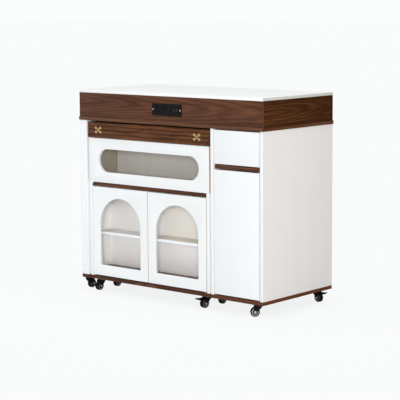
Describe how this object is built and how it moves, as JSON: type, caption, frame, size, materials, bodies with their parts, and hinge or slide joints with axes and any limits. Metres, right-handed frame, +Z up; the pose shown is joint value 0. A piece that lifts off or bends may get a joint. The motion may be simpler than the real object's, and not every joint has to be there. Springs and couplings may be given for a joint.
{
  "type": "kitchen island table",
  "caption": "Kitchen island on castors with a pull-out cart under a folding leaf, arched glass doors, a window-front drawer, a side drawer and cupboard, and a power outlet.",
  "frame": {"origin": "on the floor, under the middle of the whole outline, which runs from the front brake pedal's tip to the rear lip of the apron and from the apron's left lip to the right-hand brake pedal's tip", "axes": "+X to the right as seen from the front, +Y to the back, +Z up"},
  "size_m": [1.0212, 0.4912, 0.865],
  "materials": {
    "white_slab": "satin white laminate",
    "white_board": "painted white board",
    "grey_board": "warm grey-white laminate board",
    "walnut_board": "dark walnut, satin",
    "hardwood": "waxed hardwood",
    "clear_glass": "clear",
    "aged_brass": "antique, satin",
    "slide_steel": "zinc plated",
    "black_plastic": "fine matt",
    "caster_steel": "black, semi-gloss",
    "wheel_rubber": "matt"
  },
  "bodies": {
    "island": {"worktop": "white_slab", "apron_front": "walnut_board", "apron_back": "walnut_board", "apron_ends": "walnut_board", "apron_floor": "walnut_board", "leg_panels": "white_board", "leg_fillers": "white_board", "leg_base": "walnut_board", "cabinet_panels": "white_board", "cabinet_base": "walnut_board", "cabinet_divider": "walnut_board", "cabinet_shelf": "white_board", "back_panel": "grey_board", "bay_rails": "hardwood", "cabinet_slides": "slide_steel", "power_outlet": "black_plastic", "island_caster_plates": "caster_steel", "cabinet_door_pivots": "slide_steel"},
    "leaf": {"lower_leaf": "walnut_board", "upper_leaf": "walnut_board", "leaf_hinges": "aged_brass"},
    "cart": {"cart_panels": "white_board", "cart_base": "walnut_board", "cart_floor": "walnut_board", "cart_top": "white_board", "cart_backs": "grey_board", "cart_divider": "walnut_board", "cart_shelf": "white_board", "cart_caster_plates": "caster_steel", "cart_slides": "slide_steel", "cart_door_pivots": "slide_steel"},
    "cart_drawer": {"window_front": "white_board", "cart_drawer_box": "grey_board"},
    "left_door": {"cart_door_left": "white_board", "cart_glass_left": "clear_glass"},
    "right_door": {"cart_door_right": "white_board", "cart_glass_right": "clear_glass"},
    "drawer": {"drawer_front": "white_board", "drawer_box": "grey_board"},
    "door": {"cabinet_door": "white_board"},
    "leg_front_fork": {"leg_front_fork": "caster_steel"},
    "leg_front_wheel": {"leg_front_wheel": "wheel_rubber"},
    "leg_rear_fork": {"leg_rear_fork": "caster_steel"},
    "leg_rear_wheel": {"leg_rear_wheel": "wheel_rubber"},
    "leg_rear_pedal": {"leg_rear_pedal": "black_plastic"},
    "main_front_fork": {"main_front_fork": "caster_steel"},
    "main_front_wheel": {"main_front_wheel": "wheel_rubber"},
    "main_rear_fork": {"main_rear_fork": "caster_steel"},
    "main_rear_wheel": {"main_rear_wheel": "wheel_rubber"},
    "main_rear_pedal": {"main_rear_pedal": "black_plastic"},
    "cart_front_left_fork": {"cart_front_left_fork": "caster_steel"},
    "cart_front_left_wheel": {"cart_front_left_wheel": "wheel_rubber"},
    "cart_rear_left_fork": {"cart_rear_left_fork": "caster_steel"},
    "cart_rear_left_wheel": {"cart_rear_left_wheel": "wheel_rubber"},
    "cart_rear_left_pedal": {"cart_rear_left_pedal": "black_plastic"},
    "cart_front_right_fork": {"cart_front_right_fork": "caster_steel"},
    "cart_front_right_wheel": {"cart_front_right_wheel": "wheel_rubber"},
    "cart_front_right_pedal": {"cart_front_right_pedal": "black_plastic"},
    "cart_rear_right_fork": {"cart_rear_right_fork": "caster_steel"},
    "cart_rear_right_wheel": {"cart_rear_right_wheel": "wheel_rubber"}
  },
  "joints": [
    {"name": "leaf_slide", "type": "slide", "parent": "island", "child": "leaf", "axis": [0, -1, 0], "range_m": [0, 0.29]},
    {"name": "cart_roll", "type": "slide", "parent": "island", "child": "cart", "axis": [0, -1, 0], "range_m": [0, 0.56]},
    {"name": "cart_drawer_slide", "type": "slide", "parent": "cart", "child": "cart_drawer", "axis": [0, -1, 0], "range_m": [0, 0.1]},
    {"name": "left_door_hinge", "type": "hinge", "parent": "cart", "child": "left_door", "pos_m": [-0.43208, -0.20892, 0.07], "axis": [0, 0, -1], "range_deg": [0, 105]},
    {"name": "right_door_hinge", "type": "hinge", "parent": "cart", "child": "right_door", "pos_m": [0.18992, -0.20892, 0.07], "axis": [0, 0, 1], "range_deg": [0, 105]},
    {"name": "drawer_slide", "type": "slide", "parent": "island", "child": "drawer", "axis": [0, -1, 0], "range_m": [0, 0.35]},
    {"name": "door_hinge", "type": "hinge", "parent": "island", "child": "door", "pos_m": [0.46592, -0.21192, 0.07], "axis": [0, 0, 1], "range_deg": [0, 105]},
    {"name": "leg_front_swivel", "type": "hinge", "parent": "island", "child": "leg_front_fork", "pos_m": [-0.49008, -0.19192, 0.0457], "axis": [0, 0, 1], "continuous": true},
    {"name": "leg_front_roll", "type": "hinge", "parent": "leg_front_fork", "child": "leg_front_wheel", "pos_m": [-0.49008, -0.17792, 0.019], "axis": [-1, 0, 0], "continuous": true},
    {"name": "leg_rear_swivel", "type": "hinge", "parent": "island", "child": "leg_rear_fork", "pos_m": [-0.49008, 0.18508, 0.0457], "axis": [0, 0, 1], "continuous": true},
    {"name": "leg_rear_roll", "type": "hinge", "parent": "leg_rear_fork", "child": "leg_rear_wheel", "pos_m": [-0.49008, 0.19908, 0.019], "axis": [-1, 0, 0], "continuous": true},
    {"name": "leg_rear_brake", "type": "hinge", "parent": "leg_rear_fork", "child": "leg_rear_pedal", "pos_m": [-0.49008, 0.19208, 0.0412], "axis": [-1, 0, 0], "range_deg": [0, 10]},
    {"name": "main_front_swivel", "type": "hinge", "parent": "island", "child": "main_front_fork", "pos_m": [0.44992, -0.19192, 0.0457], "axis": [0, 0, 1], "continuous": true},
    {"name": "main_front_roll", "type": "hinge", "parent": "main_front_fork", "child": "main_front_wheel", "pos_m": [0.43951, -0.20129, 0.019], "axis": [0.6691, -0.7431, 0], "continuous": true},
    {"name": "main_rear_swivel", "type": "hinge", "parent": "island", "child": "main_rear_fork", "pos_m": [0.45192, 0.19008, 0.0457], "axis": [0, 0, 1], "continuous": true},
    {"name": "main_rear_roll", "type": "hinge", "parent": "main_rear_fork", "child": "main_rear_wheel", "pos_m": [0.4657, 0.18765, 0.019], "axis": [0.1736, 0.9848, 0], "continuous": true},
    {"name": "main_rear_brake", "type": "hinge", "parent": "main_rear_fork", "child": "main_rear_pedal", "pos_m": [0.45881, 0.18887, 0.0412], "axis": [0.1736, 0.9848, 0], "range_deg": [0, 10]},
    {"name": "cart_front_left_swivel", "type": "hinge", "parent": "cart", "child": "cart_front_left_fork", "pos_m": [-0.42108, -0.18692, 0.0457], "axis": [0, 0, 1], "continuous": true},
    {"name": "cart_front_left_roll", "type": "hinge", "parent": "cart_front_left_fork", "child": "cart_front_left_wheel", "pos_m": [-0.42108, -0.20092, 0.019], "axis": [1, 0, 0], "continuous": true},
    {"name": "cart_rear_left_swivel", "type": "hinge", "parent": "cart", "child": "cart_rear_left_fork", "pos_m": [-0.42108, -0.07592, 0.0457], "axis": [0, 0, 1], "continuous": true},
    {"name": "cart_rear_left_roll", "type": "hinge", "parent": "cart_rear_left_fork", "child": "cart_rear_left_wheel", "pos_m": [-0.42108, -0.08992, 0.019], "axis": [1, 0, 0], "continuous": true},
    {"name": "cart_rear_left_brake", "type": "hinge", "parent": "cart_rear_left_fork", "child": "cart_rear_left_pedal", "pos_m": [-0.42108, -0.08292, 0.0412], "axis": [1, 0, 0], "range_deg": [0, 10]},
    {"name": "cart_front_right_swivel", "type": "hinge", "parent": "cart", "child": "cart_front_right_fork", "pos_m": [0.17892, -0.18692, 0.0457], "axis": [0, 0, 1], "continuous": true},
    {"name": "cart_front_right_roll", "type": "hinge", "parent": "cart_front_right_fork", "child": "cart_front_right_wheel", "pos_m": [0.17649, -0.2007, 0.019], "axis": [0.9848, -0.1736, 0], "continuous": true},
    {"name": "cart_front_right_brake", "type": "hinge", "parent": "cart_front_right_fork", "child": "cart_front_right_pedal", "pos_m": [0.1777, -0.19381, 0.0412], "axis": [0.9848, -0.1736, 0], "range_deg": [0, 10]},
    {"name": "cart_rear_right_swivel", "type": "hinge", "parent": "cart", "child": "cart_rear_right_fork", "pos_m": [0.17892, -0.07592, 0.0457], "axis": [0, 0, 1], "continuous": true},
    {"name": "cart_rear_right_roll", "type": "hinge", "parent": "cart_rear_right_fork", "child": "cart_rear_right_wheel", "pos_m": [0.17892, -0.08992, 0.019], "axis": [1, 0, 0], "continuous": true}
  ]
}
